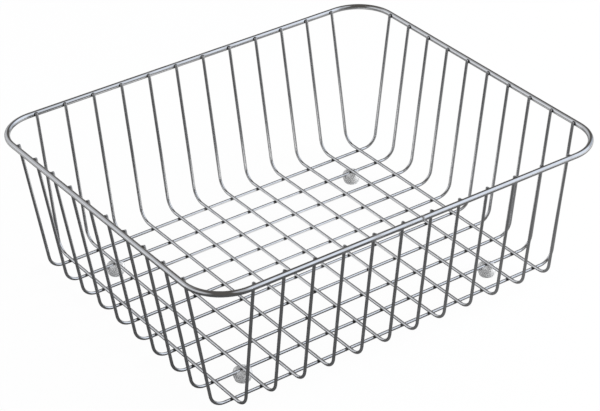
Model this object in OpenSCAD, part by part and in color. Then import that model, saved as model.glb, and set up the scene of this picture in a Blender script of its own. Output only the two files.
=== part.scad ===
// Welded wire basket for a sink bowl: a thick rim wire, two layers of bent mesh wires and four
// push-on feet. Units are millimetres. The origin is on the table under the middle of the basket,
// +X runs along the basket, +Y from front to back and +Z up.

/* [Basket] */
// Length over the rim wire, left to right
basket_l = 395.5; // [300:0.5:520]
// Width over the rim wire, front to back
basket_w = 337.5; // [250:0.5:440]
// Height from the table to the top of the rim wire
basket_h = 139.4; // [90:0.1:200]
// How far an end wall leans in between the rim and the floor
end_lean = 19; // [6:0.5:40]
// How far a long wall leans in between the rim and the floor
side_lean = 19.5; // [6:0.1:40]

/* [Rim wire] */
// Diameter of the rim wire
rim_d = 4.8; // [3.6:0.1:8]
// Outer radius of the rim's corners, seen from above
rim_corner_r = 38; // [20:1:60]
// How far right of the middle of the front side the ends of the rim wire meet in a butt weld
rim_weld_x = 2; // [-9:0.5:9]
// How far the butt weld stands proud of the rim wire
rim_weld_proud = 0.25; // [0.1:0.05:0.5]
// Radius of the bead of the butt weld, in section
rim_weld_bead_r = 1; // [0.7:0.1:1.6]

/* [Mesh wires] */
// Diameter of the mesh wires
wire_d = 2.7; // [1.8:0.1:3.4]
// Radius of the bends from floor to wall, at the middle of the wire
bend_r = 12.9; // [5:0.1:24]
// How much bending has drawn down the wire's radius in a bend
bend_draw = 0.03; // [0.02:0.01:0.06]
// Rounding of the cut ends of the wires
end_round = 0.6; // [0.2:0.1:0.8]
// How far the wire ends stay below the top of the rim wire, so that nothing catches on them
end_drop = 0.6; // [0.2:0.1:2]
// Distance from the last cross wire to the end of the straight stretch that carries it
cross_inset = 5.7; // [3:0.1:20]
// Distance from the last long wire to the end of the straight stretch that carries it
long_inset = 5.2; // [3:0.1:20]

/* [Spot welds] */
// How far a cross wire is pressed into each long wire under it
cross_set = 0.7; // [0.3:0.05:0.9]
// How far a wire is pressed against the inside of the rim wire
rim_set = 0.3; // [0.15:0.05:0.6]

/* [Feet] */
// Largest diameter of a foot
foot_d = 16; // [11:0.5:24]
// Height of a foot
foot_h = 10.2; // [8:0.1:16]
// Diameter of the underside, before its edge is rounded
foot_base_d = 13; // [9:0.5:16]
// Height of the tapered lower part of a foot
foot_taper_h = 4.5; // [2:0.1:5]
// Rounding of the bottom edge of a foot
foot_base_round = 1.2; // [0.4:0.1:2]
// Rounding of the top edge of a foot
foot_top_round = 2.7; // [0.2:0.1:2.9]
// How far a foot reaches above the middle of the long wire that it grips
foot_hold = 0.7; // [0.6:0.05:1]
// Clearance between a foot and the wires in its grooves
foot_gap = 0.05; // [0.02:0.01:0.2]
// Width of the relief slot that lets the groove spread over the wire
foot_slot_w = 1.4; // [0.8:0.1:1.6]
// Depth of the relief slot below the wire
foot_slot_h = 1.3; // [0.5:0.1:2.5]
// Diameter of the blind hole under the crossing
foot_hole_d = 3.2; // [2:0.1:5]
// Depth of the blind hole, from the top of the foot
foot_hole_h = 7; // [3:0.1:7.5]
// How many wires inwards of the last one a foot sits, both ways
foot_inwards = 1; // [0:1:3]

/* [Hidden] */
cross_count = 12;
long_count = 10;
foot_sides = [
    ["foot_front_left", -1, -1],
    ["foot_front_right", 1, -1],
    ["foot_back_left", -1, 1],
    ["foot_back_right", 1, 1],
];

function numbered(name, i) = str(name, i < 10 ? "_0" : "_", i);
cross_names = [for (i = [1:cross_count]) numbered("cross_wire", i)];
long_names = [for (i = [1:long_count]) numbered("long_wire", i)];
foot_names = [for (side = foot_sides) side[0]];

$fn = 48;
// How far a cut runs past what it cuts, and a straight stretch of wire past the start of a bend
overrun = 1;
lap = 0.1;
// Facets in the rounding of a wire's end and of a foot's edge
end_steps = 4;
edge_steps = 6;

rim_r = rim_d / 2;
wire_r = wire_d / 2;

// The rim wire's middle line
rim_z = basket_h - rim_r;
rim_x = basket_l / 2 - rim_r;
rim_y = basket_w / 2 - rim_r;
rim_bend_r = rim_corner_r - rim_r;
rim_straight_x = rim_x - rim_bend_r;
rim_straight_y = rim_y - rim_bend_r;

// The floor's two layers, long wires below and cross wires above
long_z = foot_h - foot_hold;
cross_z = long_z + wire_d - cross_set;
end_z = basket_h - end_drop;

// Angles of the walls from the vertical
long_tilt = atan(end_lean / (rim_z - long_z));
cross_tilt = atan(side_lean / (rim_z - cross_z));

// Where the wires' middle lines pass the rim, and where wall and floor would meet without a bend
weld_reach = rim_r + wire_r - rim_set;
long_top = rim_x - weld_reach / cos(long_tilt);
cross_top = rim_y - weld_reach / cos(cross_tilt);
long_corner = long_top - end_lean;
cross_corner = cross_top - side_lean;

// Half the length of each floor's straight stretch, up to the start of the bend
long_straight = long_corner - bend_r * tan((90 - long_tilt) / 2);
cross_straight = cross_corner - bend_r * tan((90 - cross_tilt) / 2);

// Places of the wires, evenly spaced where both the rim and the floor run straight
cross_span = min(rim_straight_x, long_straight) - cross_inset;
long_span = min(rim_straight_y, cross_straight) - long_inset;
cross_pitch = 2 * cross_span / (cross_count - 1);
long_pitch = 2 * long_span / (long_count - 1);
cross_xs = [for (i = [0:cross_count - 1]) i * cross_pitch - cross_span];
long_ys = [for (i = [0:long_count - 1]) i * long_pitch - long_span];
foot_x = cross_span - foot_inwards * cross_pitch;
foot_y = long_span - foot_inwards * long_pitch;

// Points of a quarter turn, from the +X side to the +Y side of its middle
function quarter(x, y, r, steps) =
    [for (i = [0:steps]) [x + r * cos(90 * i / steps), y + r * sin(90 * i / steps)]];

// Round bar along Y, from its middle both ways
module bar_y(half, r) {
    rotate([90, 0, 0])
        cylinder(h = 2 * half, r = r, center = true);
}

// Wall wire standing on z = 0, with its cut end rounded
module wall_wire(length) {
    end = quarter(wire_r - end_round, length - end_round, end_round, end_steps);
    rotate_extrude()
        polygon(concat([[0, 0], [wire_r, 0]], end, [[0, length]]));
}

// Right end of a mesh wire along X: the bend, drawn thinner than the straight wire, and the wall
module wire_end(straight, z, tilt) {
    wall_z = z + bend_r * (1 - sin(tilt));
    translate([straight, 0, z + bend_r]) {
        rotate([90, 0, 0])
            rotate([0, 0, -90])
                rotate_extrude(angle = 90 - tilt)
                    translate([bend_r, 0])
                        circle(r = wire_r - bend_draw);
        rotate([0, tilt - 90, 0])
            translate([-lap, 0, -bend_r])
                rotate([0, 90, 0])
                    wall_wire((end_z - wall_z) / cos(tilt) + lap);
    }
}

// Mesh wire along X, less the seats that the rim wire presses into its two walls
module mesh_wire(straight, z, tilt, rim_at) {
    difference() {
        union() {
            translate([0, 0, z])
                rotate([0, 90, 0])
                    cylinder(h = 2 * (straight + lap), r = wire_r, center = true);
            for (side = [0, 1])
                mirror([side, 0, 0])
                    wire_end(straight, z, tilt);
        }
        for (side = [-1, 1])
            translate([side * rim_at, 0, rim_z])
                bar_y(wire_r + overrun, rim_r);
    }
}

// Quarter of the rim wire, back right: a bent corner and half of the two sides that leave it
module rim_quarter() {
    translate([rim_straight_x, rim_straight_y, 0]) {
        rotate_extrude(angle = 90)
            translate([rim_bend_r, 0])
                circle(r = rim_r);
        translate([0, rim_bend_r, 0])
            rotate([0, -90, 0])
                cylinder(h = rim_straight_x, r = rim_r);
        translate([rim_bend_r, 0, 0])
            rotate([90, 0, 0])
                cylinder(h = rim_straight_y, r = rim_r);
    }
}

// Closed rim wire, with the bead of the butt weld that closes it
module rim_wire() {
    color("silver")
        translate([0, 0, rim_z]) {
            for (mx = [0, 1], my = [0, 1])
                mirror([mx, 0, 0])
                    mirror([0, my, 0])
                        rim_quarter();
            translate([rim_weld_x, -rim_y, 0])
                rotate([0, 90, 0])
                    rotate_extrude()
                        translate([rim_r + rim_weld_proud - rim_weld_bead_r, 0])
                            circle(r = rim_weld_bead_r);
        }
}

// Upper layer wire, front to back, at its place along X
module cross_wire(x) {
    color("silver")
        translate([x, 0, 0])
            rotate([0, 0, 90])
                mesh_wire(cross_straight, cross_z, cross_tilt, rim_y);
}

// Lower layer wire, left to right, at its place along Y, with the cross wires' seats pressed in
module long_wire(y) {
    color("silver")
        difference() {
            translate([0, y, 0])
                mesh_wire(long_straight, long_z, long_tilt, rim_x);
            for (x = cross_xs)
                translate([x, y, cross_z])
                    bar_y(wire_r + overrun, wire_r);
        }
}

// Section of a foot, from its axis outwards: rounded base, tapered side, straight side, rounded top
function foot_section() =
    let (
        base_r = foot_base_d / 2,
        side_r = foot_d / 2,
        slope = atan((side_r - base_r) / foot_taper_h),
        middle_x = base_r - foot_base_round / tan((90 + slope) / 2),
        base = [
            for (i = [0:edge_steps])
                let (turn = (90 - slope) * i / edge_steps)
                    [middle_x + foot_base_round * sin(turn), foot_base_round * (1 - cos(turn))]
        ],
        top = quarter(side_r - foot_top_round, foot_h - foot_top_round, foot_top_round, edge_steps)
    )
    concat([[0, 0]], base, [[side_r, foot_taper_h]], top, [[0, foot_h]]);

// Push-on foot under one crossing: it grips the long wire and lets the cross wire rest on top
module foot(x, y) {
    color("darkgray", 0.85)
        translate([x, y, 0])
            difference() {
                rotate_extrude()
                    polygon(foot_section());
                translate([0, 0, long_z])
                    rotate([0, 0, 90])
                        bar_y(foot_d / 2 + overrun, wire_r + foot_gap);
                translate([0, 0, cross_z])
                    bar_y(foot_d / 2 + overrun, wire_r + foot_gap);
                translate([-foot_d / 2 - overrun, -foot_slot_w / 2, long_z - wire_r - foot_slot_h])
                    cube([foot_d + 2 * overrun, foot_slot_w, wire_r + foot_slot_h]);
                translate([0, 0, foot_h - foot_hole_h])
                    cylinder(h = foot_hole_h + overrun, r = foot_hole_d / 2);
            }
}

rim_wire();
for (i = [0:cross_count - 1])
    cross_wire(cross_xs[i]);
for (i = [0:long_count - 1])
    long_wire(long_ys[i]);
for (side = foot_sides)
    foot(side[1] * foot_x, side[2] * foot_y);
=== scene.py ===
import math

import bpy
import numpy as np
from mathutils import Matrix, Vector


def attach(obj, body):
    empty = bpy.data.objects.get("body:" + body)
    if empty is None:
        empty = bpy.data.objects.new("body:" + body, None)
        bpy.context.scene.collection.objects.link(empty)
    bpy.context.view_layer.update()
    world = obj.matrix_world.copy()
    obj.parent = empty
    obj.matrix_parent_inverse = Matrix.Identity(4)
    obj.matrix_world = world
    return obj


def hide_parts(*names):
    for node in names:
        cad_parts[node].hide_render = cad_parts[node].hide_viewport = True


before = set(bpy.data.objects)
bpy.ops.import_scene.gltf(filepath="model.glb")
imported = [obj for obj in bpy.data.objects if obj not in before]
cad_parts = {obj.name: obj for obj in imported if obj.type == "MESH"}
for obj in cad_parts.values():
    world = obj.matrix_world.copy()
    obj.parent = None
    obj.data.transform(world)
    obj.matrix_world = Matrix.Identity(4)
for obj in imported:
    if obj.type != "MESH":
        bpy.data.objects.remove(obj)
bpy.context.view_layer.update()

# Driving sizes of the basket in metres, the same as in the part's source
MM = 0.001
BASKET_L = 395.5 * MM
BASKET_W = 337.5 * MM
BASKET_H = 139.4 * MM
END_LEAN = 19 * MM
SIDE_LEAN = 19.5 * MM
RIM_D = 4.8 * MM
RIM_CORNER_R = 38 * MM
RIM_WELD_X = 2 * MM
RIM_WELD_PROUD = 0.25 * MM
WIRE_D = 2.7 * MM
BEND_R = 12.9 * MM
BEND_DRAW = 0.03 * MM
END_ROUND = 0.6 * MM
END_DROP = 0.6 * MM
CROSS_INSET = 5.7 * MM
LONG_INSET = 5.2 * MM
CROSS_SET = 0.7 * MM
RIM_SET = 0.3 * MM
FOOT_H = 10.2 * MM
FOOT_HOLD = 0.7 * MM
FOOT_HOLE_D = 3.2 * MM
FOOT_INWARDS = 1
CROSS_COUNT = 12
LONG_COUNT = 10

# Sizes and places that follow from them, worked out as in the part's source
RIM_R = RIM_D / 2
WIRE_R = WIRE_D / 2
RIM_X = BASKET_L / 2 - RIM_R
RIM_Y = BASKET_W / 2 - RIM_R
RIM_Z = BASKET_H - RIM_R
RIM_BEND_R = RIM_CORNER_R - RIM_R
RIM_STRAIGHT_X = RIM_X - RIM_BEND_R
RIM_STRAIGHT_Y = RIM_Y - RIM_BEND_R
LONG_Z = FOOT_H - FOOT_HOLD
CROSS_Z = LONG_Z + WIRE_D - CROSS_SET
END_Z = BASKET_H - END_DROP
LONG_TILT = math.atan(END_LEAN / (RIM_Z - LONG_Z))
CROSS_TILT = math.atan(SIDE_LEAN / (RIM_Z - CROSS_Z))
WELD_REACH = RIM_R + WIRE_R - RIM_SET
LONG_CORNER = RIM_X - WELD_REACH / math.cos(LONG_TILT) - END_LEAN
CROSS_CORNER = RIM_Y - WELD_REACH / math.cos(CROSS_TILT) - SIDE_LEAN
LONG_STRAIGHT = LONG_CORNER - BEND_R * math.tan((math.pi / 2 - LONG_TILT) / 2)
CROSS_STRAIGHT = CROSS_CORNER - BEND_R * math.tan((math.pi / 2 - CROSS_TILT) / 2)
CROSS_SPAN = min(RIM_STRAIGHT_X, LONG_STRAIGHT) - CROSS_INSET
LONG_SPAN = min(RIM_STRAIGHT_Y, CROSS_STRAIGHT) - LONG_INSET
CROSS_XS = np.linspace(-CROSS_SPAN, CROSS_SPAN, CROSS_COUNT)
LONG_YS = np.linspace(-LONG_SPAN, LONG_SPAN, LONG_COUNT)
FOOT_X = CROSS_XS[-1 - FOOT_INWARDS]
FOOT_Y = LONG_YS[-1 - FOOT_INWARDS]

RIGHT = np.array((1.0, 0.0, 0.0))
BACK = np.array((0.0, 1.0, 0.0))
UP = np.array((0.0, 0.0, 1.0))

# Rings of the wires: steps in a bend, in the wall below the rim, beside the rim and in a rounded end,
# and how far they stand from a floor weld on either side of it
WIRE_SIDES = 22
BEND_STEPS = 18
WALL_STEPS = 17
TOP_STEPS = 16
TOP_STRETCH = 12 * MM
END_STEPS = 4
WELD_RINGS = np.array((1.6, 2.4, 3, 3.4, 4, 4.4, 8)) * MM
# Places less than this apart count as one
NEARBY = 1 * MM

# Rings of the rim: steps in a corner and along its sides, and how far they stand from the butt weld
RIM_SIDES = 40
RIM_CORNER_STEPS = 24
RIM_FRONT_STEPS = 21
RIM_END_STEPS = 29
RIM_BACK_STEPS = 35
RIM_WELD_RINGS = np.array((0, 0.15, 0.3, 0.45, 0.6, 0.8, 1.1, 1.6, 2.4, 4, 7)) * MM
# Width of the butt weld's bead and how uneven it is round the rim
RIM_BEAD_WIDTH = 0.62 * MM
RIM_BEAD_LUMPS = 0.25
RIM_BEAD_WAVES = 3
RIM_BEAD_SHIFTS = (1, -0.5)

# Tarnish is 0 where the steel is bright and about 1 where it is burnt. At the floor welds of the long wires
# it is stronger and reaches further than the weld burn, as painted shade beside the crossing wire. These
# say how strong it is at each kind of weld and how far it reaches along the wire
FLOOR_TARNISH_AND_SHADE_REACH = 3.4 * MM
FLOOR_TARNISH_AND_SHADE_FADE = 1.2 * MM
# Painted shade: on the long wires this goes past the weld burn and darkens them beside each crossing wire
LONG_TARNISH_AND_SHADE = 1.15
CROSS_TARNISH = 0.2
TOP_TARNISH = 0.55
TOP_TARNISH_RISE = 1.2 * MM
TOP_TARNISH_WIDTH = 2.6 * MM
RIM_TARNISH = 0.3
RIM_TARNISH_WIDTH = 1.5 * MM
BUTT_TARNISH_WIDTH = 1.1 * MM

# Beads of the spot welds: half sizes along, across and through the joint, spread of their size and of
# their place, how uneven their outline is, and their rings and sides
FLOOR_BEAD = np.array((1.62, 1.62, 0.74)) * MM
RIM_BEAD = np.array((2.2, 1.8, 0.95)) * MM
BEAD_SIZE_SPREAD = 0.08
BEAD_PLACE_SPREAD = 0.08 * MM
BEAD_UNEVEN = 0.035
BEAD_WAVES = 4
BEAD_RINGS = 8
BEAD_SIDES = 14

# Texture coordinates run along a wire at this rate. The cut end of a wire has a small disc of them
UV_PER_METRE = 100
END_UV_MIDDLE = 0.5
END_UV_RADIUS = 0.1

# Colour of each steel and the range of its roughness
RIM_STEEL = ((0.735, 0.736, 0.742), (0.06, 0.12))
WIRE_STEEL = ((0.784, 0.785, 0.79), (0.05, 0.10))
WELD_STEEL = ((0.13, 0.128, 0.125), (0.30, 0.45))
# All steel: lines drawn along the wire, soft clouds, and what the tarnish and painted shade do
STEEL_LINE_STRETCH = (3, 26, 1)
STEEL_LINE_SCALE = 6
STEEL_LINE_DETAIL = 5
STEEL_LINE_STRENGTH = 0.03
STEEL_LINE_DEPTH = 0.02 * MM
STEEL_CLOUD_SCALE = 160
STEEL_CLOUD_DETAIL = 3
STEEL_CLOUD_STOPS = ((0.25, 0.0), (0.75, 1.0))
STEEL_DULL_SHARE = 0.9
STEEL_SPECULAR = 0.25
# Colour of burnt weld metal, also used as painted shade beside the floor crossings
BURNT_AND_SHADE_COLOUR = (0.034, 0.033, 0.032)
TARNISH_BASE = 0.35
TARNISH_ROUGHNESS = 0.3

# Plastic of the feet: light that scatters in it, soft clouds, a fine grain and painted shade in its blind
# hole
PLASTIC_IOR = 1.49
PLASTIC_SCATTER = 0.8
PLASTIC_SCATTER_DEPTH = 3 * MM
PLASTIC_DARK = (0.80, 0.80, 0.79)
PLASTIC_LIGHT = (0.88, 0.88, 0.875)
PLASTIC_ROUGHNESS = (0.25, 0.34)
PLASTIC_CLOUD_SCALE = 300
PLASTIC_CLOUD_DETAIL = 2
PLASTIC_GRAIN_SCALE = 2600
PLASTIC_GRAIN_DETAIL = 2
PLASTIC_GRAIN_STRENGTH = 0.03
PLASTIC_GRAIN_DEPTH = 0.05 * MM
HOLE_SHADE_COLOUR = (0.22, 0.22, 0.22)
HOLE_MARGIN = 0.1 * MM

# The floor. The camera sees this share of a white glow over a white sheet, which keeps the basket's
# shadow. To metal the sheet has a dark shade, and to bounced light it is this much nearer to white
FLOOR_HALF = 4
FLOOR_WHITE = 0.95
FLOOR_SHADE = (0.09, 0.09, 0.09)
FLOOR_BOUNCE = 0.6
# What polished metal sees of the floor: a dim sheet with painted pools of light glowing on it, not cast by
# the lamps.
# Each pool is the x and y of its middle, its full and its outer radius in metres, and its strength
FLOOR_DIM = 0.03
FLOOR_PAINTED_POOLS = (
    (1.26, 0.75, 0.40, 1.70, 0.90),
    (-0.60, 0.65, 0.40, 0.52, 0.57),
    (1.18, -0.66, 0.75, 0.86, 1.00),
    (0.02, 0.05, 0.05, 0.13, 0.80),
)

# The studio that the metal sees: a dim room with glows. Each glow is the azimuth and elevation of its
# middle, the angle up to which it is full and the angle where it ends in degrees, and its colour
ROOM = (0.117, 0.11, 0.103)
GLOWS = (
    (-43, 39, 36, 42, (0.416, 0.44, 0.478)),
    (-19, 22, 32, 48, (0.487, 0.545, 0.64)),
    (165, 18, 16, 47, (0.594, 0.615, 0.65)),
    (105, 19, 11, 46, (0.559, 0.58, 0.614)),
)

# The lamps: name, place and width in metres, and power in watts. They all face one point in the basket
LAMPS = (
    ("key_lamp", (1.65, -1.1, 0.75), 1.2, 48),
    ("back_lamp", (-1.3, 1.2, 1.2), 1.4, 14),
)
LAMP_AIM = (0, 0, 0.06)

# The camera, fitted to the photograph: its direction, how far back it stands from the middle of the
# basket's floor, the pixel where the photograph shows that point, and its focal length in pixels
PIXELS_WIDE = 600
PIXELS_HIGH = 411
AZIMUTH = math.radians(-34.3692)
ELEVATION = math.radians(31.5376)
ROLL = math.radians(-1.7098)
DISTANCE = 1.9459468
AIM_PIXEL_X = 300.4688
AIM_PIXEL_Y = 264.3464
FOCAL_PIXELS = 2269.48
# Width of the sensor in millimetres, and the nearest and farthest that the camera sees in metres
SENSOR_WIDTH = 36
CLIP_NEAR = 0.01
CLIP_FAR = 100

SEED = 20
rng = np.random.default_rng(SEED)


def steps(start, end, count):
    """Evenly spaced values after start, up to and with end."""
    return np.linspace(start, end, count + 1)[1:]


def full_turn(sides):
    """Angles of the sides of a ring."""
    return np.arange(sides) * 2 * math.pi / sides


def bell(away, width):
    """1 where away is zero, falling off softly over the width."""
    return np.exp(-((away / width) ** 2))


def opaque(colour):
    """Colour with full alpha."""
    return (*colour, 1)


def new_material(name):
    """Node material that has only its output node, with its tree and that node."""
    mat = bpy.data.materials.new(name)
    mat.use_nodes = True
    tree = mat.node_tree
    tree.nodes.clear()
    return mat, tree, add(tree, "ShaderNodeOutputMaterial")


def add(tree, kind, **values):
    """New node of this kind, with its properties set."""
    node = tree.nodes.new(kind)
    for key, value in values.items():
        setattr(node, key, value)
    return node


def feed(tree, socket, value):
    """Set a socket to a value, or link it to another node's output."""
    if isinstance(value, bpy.types.NodeSocket):
        tree.links.new(value, socket)
    else:
        socket.default_value = value


def math_node(tree, operation, a, b=None, clamp=False):
    """Result of a math node on one or two numbers or outputs."""
    node = add(tree, "ShaderNodeMath", operation=operation, use_clamp=clamp)
    feed(tree, node.inputs[0], a)
    if b is not None:
        feed(tree, node.inputs[1], b)
    return node.outputs[0]


def mix_colour(tree, factor, a, b, blend="MIX"):
    """Colour a with colour b blended in by the factor."""
    node = add(tree, "ShaderNodeMix", data_type="RGBA", blend_type=blend)
    for socket, value in zip((node.inputs[0], *node.inputs[6:8]), (factor, a, b)):
        feed(tree, socket, value)
    return node.outputs[2]


def mix_shader(tree, factor, a, b):
    """Shader a with shader b blended in by the factor."""
    node = add(tree, "ShaderNodeMixShader")
    for socket, value in zip(node.inputs, (factor, a, b)):
        feed(tree, socket, value)
    return node.outputs[0]


def map_range(tree, value, source, target, kind="LINEAR"):
    """Value carried from the source range over to the target range, clamped to it."""
    node = add(tree, "ShaderNodeMapRange", interpolation_type=kind)
    for socket, number in zip(node.inputs, (value, *source, *target)):
        feed(tree, socket, number)
    return node.outputs[0]


def grey_ramp(tree, value, stops):
    """Grey between stops of position and level."""
    node = add(tree, "ShaderNodeValToRGB")
    for element, (place, level) in zip(node.color_ramp.elements, stops):
        element.position = place
        element.color = (level, level, level, 1)
    feed(tree, node.inputs[0], value)
    return node.outputs[0]


def noise(tree, place, scale, detail):
    """Noise at a place, about 0.5 on average."""
    node = add(tree, "ShaderNodeTexNoise")
    node.inputs["Scale"].default_value = scale
    node.inputs["Detail"].default_value = detail
    feed(tree, node.inputs["Vector"], place)
    return node.outputs[0]


def bump(tree, height, strength, depth):
    """Surface normal of a height."""
    node = add(tree, "ShaderNodeBump")
    node.inputs["Strength"].default_value = strength
    node.inputs["Distance"].default_value = depth
    feed(tree, node.inputs["Height"], height)
    return node.outputs[0]


def steel(name, colour, roughness):
    """Polished stainless steel with fine lines along the wire, darker and rougher where it is tarnished and
    where shade is painted at the floor crossings.
    """
    mat, tree, out = new_material(name)
    shader = add(tree, "ShaderNodeBsdfPrincipled")
    feed(tree, out.inputs[0], shader.outputs[0])
    texture = add(tree, "ShaderNodeTexCoord")
    stretch = add(tree, "ShaderNodeMapping")
    stretch.inputs["Scale"].default_value = STEEL_LINE_STRETCH
    feed(tree, stretch.inputs["Vector"], texture.outputs["UV"])
    lines = noise(tree, stretch.outputs[0], STEEL_LINE_SCALE, STEEL_LINE_DETAIL)
    clouds = noise(tree, texture.outputs["Object"], STEEL_CLOUD_SCALE, STEEL_CLOUD_DETAIL)

    tarnish_and_shade = add(tree, "ShaderNodeAttribute", attribute_name="tarnish_and_shade").outputs["Fac"]
    # How burnt the steel is, with the painted shade at the floor crossings
    mottled_burn_and_shade = math_node(tree, "MULTIPLY", tarnish_and_shade, math_node(tree, "ADD", clouds, TARNISH_BASE))
    shade = grey_ramp(tree, clouds, STEEL_CLOUD_STOPS)
    duller = [STEEL_DULL_SHARE * channel for channel in colour]
    plain = mix_colour(tree, shade, opaque(duller), opaque(colour))
    feed(tree, shader.inputs["Base Color"], mix_colour(tree, mottled_burn_and_shade, plain, opaque(BURNT_AND_SHADE_COLOUR)))
    feed(tree, shader.inputs["Metallic"], math_node(tree, "SUBTRACT", 1, mottled_burn_and_shade, clamp=True))
    shader.inputs["Specular IOR Level"].default_value = STEEL_SPECULAR

    even = map_range(tree, lines, (0, 1), roughness)
    added = math_node(tree, "MULTIPLY", mottled_burn_and_shade, TARNISH_ROUGHNESS)
    feed(tree, shader.inputs["Roughness"], math_node(tree, "ADD", even, added))
    feed(tree, shader.inputs["Normal"], bump(tree, lines, STEEL_LINE_STRENGTH, STEEL_LINE_DEPTH))
    return mat


def plastic(name):
    """Frosted plastic of the feet, with painted shade inside their blind holes."""
    mat, tree, out = new_material(name)
    shader = add(tree, "ShaderNodeBsdfPrincipled")
    shader.inputs["IOR"].default_value = PLASTIC_IOR
    shader.inputs["Subsurface Weight"].default_value = PLASTIC_SCATTER
    shader.inputs["Subsurface Radius"].default_value = (1, 1, 1)
    shader.inputs["Subsurface Scale"].default_value = PLASTIC_SCATTER_DEPTH
    feed(tree, out.inputs[0], shader.outputs[0])
    place = add(tree, "ShaderNodeTexCoord").outputs["Object"]
    clouds = noise(tree, place, PLASTIC_CLOUD_SCALE, PLASTIC_CLOUD_DETAIL)
    grain = noise(tree, place, PLASTIC_GRAIN_SCALE, PLASTIC_GRAIN_DETAIL)

    parts = add(tree, "ShaderNodeSeparateXYZ")
    feed(tree, parts.inputs[0], place)
    squares = []
    for part, middle in zip(parts.outputs, (FOOT_X, FOOT_Y)):
        away = math_node(tree, "SUBTRACT", math_node(tree, "ABSOLUTE", part), middle)
        squares.append(math_node(tree, "MULTIPLY", away, away))
    from_axis = math_node(tree, "SQRT", math_node(tree, "ADD", *squares))
    # Painted shade: the plastic goes dark near the foot's axis, where the blind hole is
    in_shaded_hole = math_node(tree, "LESS_THAN", from_axis, FOOT_HOLE_D / 2 + HOLE_MARGIN)
    frosted = mix_colour(tree, clouds, opaque(PLASTIC_DARK), opaque(PLASTIC_LIGHT))
    feed(tree, shader.inputs["Base Color"], mix_colour(tree, in_shaded_hole, frosted, opaque(HOLE_SHADE_COLOUR)))
    feed(tree, shader.inputs["Roughness"], map_range(tree, clouds, (0, 1), PLASTIC_ROUGHNESS))
    normal = bump(tree, grain, PLASTIC_GRAIN_STRENGTH, PLASTIC_GRAIN_DEPTH)
    feed(tree, shader.inputs["Normal"], normal)
    return mat


def mesh_object(name, vertices, faces, material, uvs, tarnish_and_shade, flat_faces=()):
    """Mesh that is smooth but for its flat faces, with a texture place for each face corner."""
    mesh = bpy.data.meshes.new(name)
    mesh.from_pydata([tuple(v) for v in vertices], [], faces)
    smooth = np.ones(len(faces), bool)
    smooth[list(flat_faces)] = False
    mesh.polygons.foreach_set("use_smooth", smooth)
    layer = mesh.uv_layers.new(name="UVMap")
    layer.data.foreach_set("uv", np.asarray(uvs, np.float32).ravel())
    attribute = mesh.attributes.new("tarnish_and_shade", "FLOAT", "POINT")
    attribute.data.foreach_set("value", np.asarray(tarnish_and_shade, np.float32))
    mesh.materials.append(material)
    mesh.validate()
    mesh.update()
    obj = bpy.data.objects.new(name, mesh)
    bpy.context.scene.collection.objects.link(obj)
    return obj


def across_path(points, normal, closed):
    """Unit vectors square to a flat path and to the normal of its plane."""
    if closed:
        tangents = np.roll(points, -1, 0) - np.roll(points, 1, 0)
    else:
        tangents = np.gradient(points, axis=0)
    tangents /= np.linalg.norm(tangents, axis=1)[:, None]
    return np.cross(tangents, normal)


def tube(name, points, radii, normal, material, tarnish_and_shade, closed=False):
    """Bar along a flat path, from a radius for each point and side and a tarnish with painted shade for
    each point.
    """
    count, sides = radii.shape
    turn = full_turn(sides)
    side = across_path(points, normal, closed)
    rings = (
        points[:, None, :]
        + radii[:, :, None] * np.cos(turn)[None, :, None] * side[:, None, :]
        + radii[:, :, None] * np.sin(turn)[None, :, None] * normal[None, None, :]
    )
    lengths = np.linalg.norm(np.diff(points, axis=0, append=points[:1]), axis=1)
    along = np.concatenate([[0], np.cumsum(lengths)]) * UV_PER_METRE
    faces = []
    uvs = []
    flat = []
    for i in range(count if closed else count - 1):
        this, following = i * sides, (i + 1) % count * sides
        for j in range(sides):
            k = (j + 1) % sides
            faces.append((this + j, this + k, following + k, following + j))
            low, high = j / sides, (j + 1) / sides
            uvs += [(along[i], low), (along[i], high), (along[i + 1], high), (along[i + 1], low)]
    if not closed:
        for start, order in ((0, -1), (count - 1, 1)):
            flat.append(len(faces))
            faces.append(tuple(start * sides + j for j in range(sides)[::order]))
            uvs += [
                (END_UV_MIDDLE + END_UV_RADIUS * math.cos(t), END_UV_MIDDLE + END_UV_RADIUS * math.sin(t))
                for t in turn[::order]
            ]
    return mesh_object(name, rings.reshape(-1, 3), faces, material, uvs, np.repeat(tarnish_and_shade, sides), flat)


def half_wire(straight, z, tilt, welds):
    """Rows of place outwards, height and radius, from the middle of the floor to the cut end."""
    offsets = np.concatenate([-WELD_RINGS[::-1], [0], WELD_RINGS])
    near = (np.array([weld for weld in welds if weld > 0])[:, None] + offsets).ravel()
    near = near[(near > NEARBY) & (near < straight - NEARBY)]
    rows = [(out, z, WIRE_R) for out in sorted((0, *near))]
    for k, turn in enumerate(np.linspace(0, math.pi / 2 - tilt, BEND_STEPS + 1)):
        drawn = BEND_DRAW if 0 < k < BEND_STEPS else 0
        out = straight + BEND_R * math.sin(turn)
        rows.append((out, z + BEND_R * (1 - math.cos(turn)), WIRE_R - drawn))
    bend_out, bend_up, _ = rows[-1]
    length = (END_Z - z - BEND_R * (1 - math.sin(tilt))) / math.cos(tilt)
    top = length - END_ROUND
    wall = [(s, WIRE_R) for s in steps(0, top - TOP_STRETCH, WALL_STEPS)]
    wall += [(s, WIRE_R) for s in steps(top - TOP_STRETCH, top, TOP_STEPS)]
    for turn in steps(0, math.pi / 2, END_STEPS):
        wall.append((top + END_ROUND * math.sin(turn), WIRE_R - END_ROUND * (1 - math.cos(turn))))
    for s, radius in wall:
        rows.append((bend_out + s * math.sin(tilt), bend_up + s * math.cos(tilt), radius))
    return np.array(rows)


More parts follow.
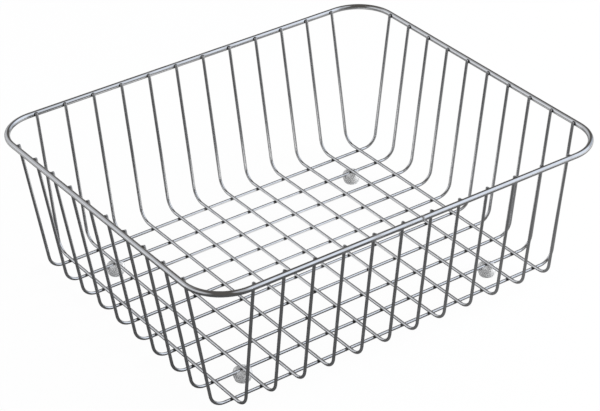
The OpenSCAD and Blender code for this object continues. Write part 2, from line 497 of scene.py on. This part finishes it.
def mesh_wire(name, straight, z, tilt, place, along, normal, welds, floor_tarnish_and_shade, material):
    """Wire bent into two walls and a floor, tarnished at its welds at the rim and at its floor welds, where
    painted shade is added beside the crossing wire.
    """
    half = half_wire(straight, z, tilt, welds)
    rows = np.concatenate([half[:0:-1] * (-1, 1, 1), half])
    out, up, radius = rows.T
    points = place + out[:, None] * along + up[:, None] * UP
    on_floor = up < z + NEARBY
    tarnish_and_shade = TOP_TARNISH * bell(up - RIM_Z - TOP_TARNISH_RISE, TOP_TARNISH_WIDTH)
    for weld in welds:
        # At the floor welds the weld burn is widened into painted shade beside the crossing wire
        fade = np.clip((FLOOR_TARNISH_AND_SHADE_REACH - np.abs(out - weld)) / FLOOR_TARNISH_AND_SHADE_FADE, 0, 1)
        tarnish_and_shade = np.maximum(tarnish_and_shade, floor_tarnish_and_shade * fade * on_floor)
    radii = np.repeat(radius[:, None], WIRE_SIDES, 1)
    return tube(name, points, radii, normal, material, tarnish_and_shade)


def rim_path():
    """Middle line of the rim wire, from the butt weld round the basket and back to it."""
    centre_x, centre_y = RIM_STRAIGHT_X, RIM_STRAIGHT_Y
    right, left = RIM_WELD_X + RIM_WELD_RINGS[-1], RIM_WELD_X - RIM_WELD_RINGS[-1]
    corners = ((centre_x, -centre_y), (centre_x, centre_y), (-centre_x, centre_y), (-centre_x, -centre_y))
    straights = (
        [(RIM_X, y) for y in steps(-centre_y, centre_y, RIM_END_STEPS)],
        [(x, RIM_Y) for x in steps(centre_x, -centre_x, RIM_BACK_STEPS)],
        [(-RIM_X, y) for y in steps(centre_y, -centre_y, RIM_END_STEPS)],
        [(x, -RIM_Y) for x in steps(-centre_x, left, RIM_FRONT_STEPS)],
    )
    points = [(RIM_WELD_X + s, -RIM_Y) for s in RIM_WELD_RINGS]
    points += [(x, -RIM_Y) for x in steps(right, centre_x, RIM_FRONT_STEPS)]
    for k, ((x, y), straight) in enumerate(zip(corners, straights)):
        for turn in np.radians(steps(90 * (k - 1), 90 * k, RIM_CORNER_STEPS)):
            points.append((x + RIM_BEND_R * math.cos(turn), y + RIM_BEND_R * math.sin(turn)))
        points += straight
    points += [(RIM_WELD_X - s, -RIM_Y) for s in RIM_WELD_RINGS[-2:0:-1]]
    return np.array([(x, y, RIM_Z) for x, y in points])


def rim_wire(name, material):
    """Rim with the uneven bead of its butt weld, tarnished there and where the cross wires meet it."""
    path = rim_path()
    turn = full_turn(RIM_SIDES)
    on_front = path[:, 1] < 0
    on_long_side = np.abs(path[:, 1]) > RIM_Y - NEARBY
    from_weld = path[:, 0] - RIM_WELD_X
    first, second = RIM_BEAD_SHIFTS
    waves = np.cos(RIM_BEAD_WAVES * turn + first) * np.cos(turn + second)
    lumps = 1 - RIM_BEAD_LUMPS + RIM_BEAD_LUMPS * waves
    swell = bell(from_weld, RIM_BEAD_WIDTH) * on_front
    radii = RIM_R + RIM_WELD_PROUD * swell[:, None] * lumps[None, :]
    tarnish_and_shade = bell(from_weld, BUTT_TARNISH_WIDTH) * on_front
    for x in CROSS_XS:
        spot = RIM_TARNISH * bell(path[:, 0] - x, RIM_TARNISH_WIDTH) * on_long_side
        tarnish_and_shade = np.maximum(tarnish_and_shade, spot)
    return tube(name, path, radii, UP, material, tarnish_and_shade, closed=True)


def bead(centre, axes, half_sizes):
    """Flattened bead of weld metal with a slightly uneven outline, as vertices and faces."""
    waves = rng.uniform(-1, 1, BEAD_WAVES)
    shifts = rng.uniform(0, 2 * math.pi, BEAD_WAVES)
    along, across, through = [axis * half for axis, half in zip(axes, half_sizes)]
    vertices = [centre - through]
    for i in range(1, BEAD_RINGS):
        rise = -math.pi / 2 + math.pi * i / BEAD_RINGS
        for turn in full_turn(BEAD_SIDES):
            uneven = sum(w * math.cos((k + 2) * turn + s) for k, (w, s) in enumerate(zip(waves, shifts)))
            reach = math.cos(rise) * (1 + BEAD_UNEVEN * uneven)
            flat = along * math.cos(turn) * reach + across * math.sin(turn) * reach
            vertices.append(centre + flat + through * math.sin(rise))
    vertices.append(centre + through)
    faces = []
    for j in range(BEAD_SIDES):
        k = (j + 1) % BEAD_SIDES
        faces.append((0, 1 + k, 1 + j))
        for i in range(BEAD_RINGS - 2):
            a, b = 1 + i * BEAD_SIDES + j, 1 + i * BEAD_SIDES + k
            faces.append((a, b, b + BEAD_SIDES, a + BEAD_SIDES))
        top = 1 + (BEAD_RINGS - 2) * BEAD_SIDES
        faces.append((len(vertices) - 1, top + j, top + k))
    return vertices, faces


def bead_size():
    """Random share of its usual size that a bead has."""
    return rng.uniform(1 - BEAD_SIZE_SPREAD, 1 + BEAD_SIZE_SPREAD)


def floor_bead(x, y):
    """Metal squeezed out where a cross wire and a long wire meet."""
    size = bead_size()
    x += rng.normal(0, BEAD_PLACE_SPREAD)
    y += rng.normal(0, BEAD_PLACE_SPREAD)
    return bead(np.array((x, y, (LONG_Z + CROSS_Z) / 2)), (RIGHT, BACK, UP), FLOOR_BEAD * size)


def rim_bead(place, outward, along, tilt):
    """Metal squeezed out where a wall wire that leans by this tilt meets the rim."""
    across = UP * math.sin(tilt) - outward * math.cos(tilt)
    up_wall = UP * math.cos(tilt) + outward * math.sin(tilt)
    centre = place + across * (RIM_R - RIM_SET / 2)
    return bead(centre, (along, up_wall, across), RIM_BEAD * bead_size())


def all_floor_beads():
    """Beads of all the floor's crossings."""
    return [floor_bead(x, y) for x in CROSS_XS for y in LONG_YS]


def all_rim_beads():
    """Beads of all the joints between the walls and the rim."""
    beads = []
    for side in (-1, 1):
        for x in CROSS_XS:
            beads.append(rim_bead(np.array((x, side * RIM_Y, RIM_Z)), side * BACK, RIGHT, CROSS_TILT))
        for y in LONG_YS:
            beads.append(rim_bead(np.array((side * RIM_X, y, RIM_Z)), side * RIGHT, BACK, LONG_TILT))
    return beads


def gather(name, beads, material):
    """All these beads as one piece, tarnished all over."""
    vertices = []
    faces = []
    for bead_vertices, bead_faces in beads:
        start = len(vertices)
        vertices += bead_vertices
        faces += [tuple(start + i for i in face) for face in bead_faces]
    uvs = [vertices[i][:2] * UV_PER_METRE for face in faces for i in face]
    return mesh_object(name, vertices, faces, material, uvs, np.ones(len(vertices)))


def own(piece, slot, *nodes):
    """A piece that rides on the basket and stands for these nodes, which are hidden. The slot is not used.
    """
    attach(piece, "root")
    if nodes:
        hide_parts(*nodes)


def seen_or_through(tree, rays):
    """1 for rays from the camera and for those that have come through something clear."""
    return math_node(tree, "MAXIMUM", rays.outputs["Is Camera Ray"], rays.outputs["Is Transmission Ray"])


def floor_material():
    """White to the camera, a dim sheet with painted pools of light to polished metal, and clear from below.
    """
    mat, tree, out = new_material("pale_floor")
    rays = add(tree, "ShaderNodeLightPath")
    seen = seen_or_through(tree, rays)
    spot = add(tree, "ShaderNodeTexCoord").outputs["Object"]
    mirrored = FLOOR_DIM
    # Each pool is painted light: a glow on the floor that only reflections see
    for x, y, full, end, strength in FLOOR_PAINTED_POOLS:
        away = add(tree, "ShaderNodeVectorMath", operation="DISTANCE")
        feed(tree, away.inputs[0], spot)
        away.inputs[1].default_value = (x, y, 0)
        painted_pool = map_range(tree, away.outputs["Value"], (full, end), (strength, 0), "SMOOTHSTEP")
        mirrored = math_node(tree, "ADD", mirrored, painted_pool)
    mirrored = math_node(tree, "MINIMUM", mirrored, 1)
    factor = math_node(
        tree, "ADD",
        math_node(tree, "MULTIPLY", seen, FLOOR_WHITE),
        math_node(tree, "MULTIPLY", rays.outputs["Is Glossy Ray"], mirrored),
    )
    bounced = math_node(tree, "MULTIPLY", rays.outputs["Is Diffuse Ray"], FLOOR_BOUNCE)
    pale = math_node(tree, "MAXIMUM", seen, bounced)
    sheet = add(tree, "ShaderNodeBsdfDiffuse")
    feed(tree, sheet.inputs[0], mix_colour(tree, pale, opaque(FLOOR_SHADE), (1, 1, 1, 1)))
    glow = add(tree, "ShaderNodeEmission")
    top = mix_shader(tree, factor, sheet.outputs[0], glow.outputs[0])
    from_below = add(tree, "ShaderNodeNewGeometry").outputs["Backfacing"]
    clear = add(tree, "ShaderNodeBsdfTransparent")
    feed(tree, out.inputs[0], mix_shader(tree, from_below, top, clear.outputs[0]))
    return mat


def make_floor():
    """Large plain floor that belongs to the stage."""
    mesh = bpy.data.meshes.new("floor")
    corners = ((-1, -1), (1, -1), (1, 1), (-1, 1))
    mesh.from_pydata([(x * FLOOR_HALF, y * FLOOR_HALF, 0) for x, y in corners], [], [(0, 1, 2, 3)])
    mesh.materials.append(floor_material())
    floor = bpy.data.objects.new("floor", mesh)
    bpy.context.scene.collection.objects.link(floor)


def make_world():
    """White behind everything to the camera, and a dim room with soft glows to the metal."""
    world = bpy.data.worlds.new("studio")
    bpy.context.scene.world = world
    world.use_nodes = True
    tree = world.node_tree
    tree.nodes.clear()
    out = add(tree, "ShaderNodeOutputWorld")
    direction = add(tree, "ShaderNodeTexCoord").outputs["Generated"]
    room = opaque(ROOM)
    for azimuth, elevation, full, end, colour in GLOWS:
        around, rise = math.radians(azimuth), math.radians(elevation)
        facing = add(tree, "ShaderNodeVectorMath", operation="DOT_PRODUCT")
        feed(tree, facing.inputs[0], direction)
        facing.inputs[1].default_value = (
            math.cos(rise) * math.cos(around),
            math.cos(rise) * math.sin(around),
            math.sin(rise),
        )
        edges = (math.cos(math.radians(end)), math.cos(math.radians(full)))
        glow = map_range(tree, facing.outputs["Value"], edges, (0, 1), "SMOOTHSTEP")
        room = mix_colour(tree, glow, room, opaque(colour), "ADD")
    studio = add(tree, "ShaderNodeBackground")
    feed(tree, studio.inputs[0], room)
    white = add(tree, "ShaderNodeBackground")
    white.inputs[0].default_value = (1, 1, 1, 1)
    seen = seen_or_through(tree, add(tree, "ShaderNodeLightPath"))
    feed(tree, out.inputs[0], mix_shader(tree, seen, studio.outputs[0], white.outputs[0]))


def make_lamp(name, place, width, power):
    """Round soft lamp that the metal doesn't mirror."""
    light = bpy.data.lights.new(name, "AREA")
    light.shape = "DISK"
    light.size = width
    light.energy = power
    obj = bpy.data.objects.new(name, light)
    obj.location = place
    obj.rotation_euler = (Vector(LAMP_AIM) - Vector(place)).to_track_quat("-Z", "Y").to_euler()
    obj.visible_glossy = False
    bpy.context.scene.collection.objects.link(obj)


def make_camera():
    """Camera at the photograph's viewing angle, with the basket where the photograph has it."""
    back = Vector((
        math.sin(AZIMUTH) * math.cos(ELEVATION),
        -math.cos(AZIMUTH) * math.cos(ELEVATION),
        math.sin(ELEVATION),
    ))
    level_right = Vector((math.cos(AZIMUTH), math.sin(AZIMUTH), 0))
    level_up = back.cross(level_right)
    right = math.cos(ROLL) * level_right + math.sin(ROLL) * level_up
    up = math.cos(ROLL) * level_up - math.sin(ROLL) * level_right
    per_pixel = DISTANCE / FOCAL_PIXELS
    shift_right = (AIM_PIXEL_X - PIXELS_WIDE / 2) * per_pixel
    shift_down = (AIM_PIXEL_Y - PIXELS_HIGH / 2) * per_pixel
    middle = Vector((0, 0, LONG_Z)) - right * shift_right + up * shift_down
    data = bpy.data.cameras.new("camera")
    data.sensor_width = SENSOR_WIDTH
    data.lens = FOCAL_PIXELS * SENSOR_WIDTH / PIXELS_WIDE
    data.clip_start = CLIP_NEAR
    data.clip_end = CLIP_FAR
    camera = bpy.data.objects.new("camera", data)
    bpy.context.scene.collection.objects.link(camera)
    axes = Matrix((right, up, back)).transposed().to_4x4()
    camera.matrix_world = Matrix.Translation(middle + back * DISTANCE) @ axes
    bpy.context.scene.camera = camera


rim_finish = steel("polished_rim_steel", *RIM_STEEL)
wire_finish = steel("polished_mesh_steel", *WIRE_STEEL)
weld_finish = steel("weld_steel", *WELD_STEEL)
foot_finish = plastic("frosted_foot_plastic")

own(rim_wire("rim_wire_steel", rim_finish), "rim_steel", "rim_wire")
for i, x in enumerate(CROSS_XS):
    node = f"cross_wire_{i + 1:02d}"
    piece = mesh_wire(
        f"{node}_steel", CROSS_STRAIGHT, CROSS_Z, CROSS_TILT,
        x * RIGHT, BACK, RIGHT, LONG_YS, CROSS_TARNISH, wire_finish,
    )
    own(piece, "mesh_steel", node)
for i, y in enumerate(LONG_YS):
    node = f"long_wire_{i + 1:02d}"
    piece = mesh_wire(
        f"{node}_steel", LONG_STRAIGHT, LONG_Z, LONG_TILT,
        y * BACK, RIGHT, BACK, CROSS_XS, LONG_TARNISH_AND_SHADE, wire_finish,
    )
    own(piece, "mesh_steel", node)
own(gather("floor_weld_beads", all_floor_beads(), weld_finish), "mesh_steel")
own(gather("rim_weld_beads", all_rim_beads(), weld_finish), "mesh_steel")

for corner in ("front_left", "front_right", "back_left", "back_right"):
    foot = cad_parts[f"foot_{corner}"]
    foot.data.materials.clear()
    foot.data.materials.append(foot_finish)

make_floor()
make_world()
for lamp in LAMPS:
    make_lamp(*lamp)
make_camera()
bpy.context.scene.view_settings.view_transform = "Standard"
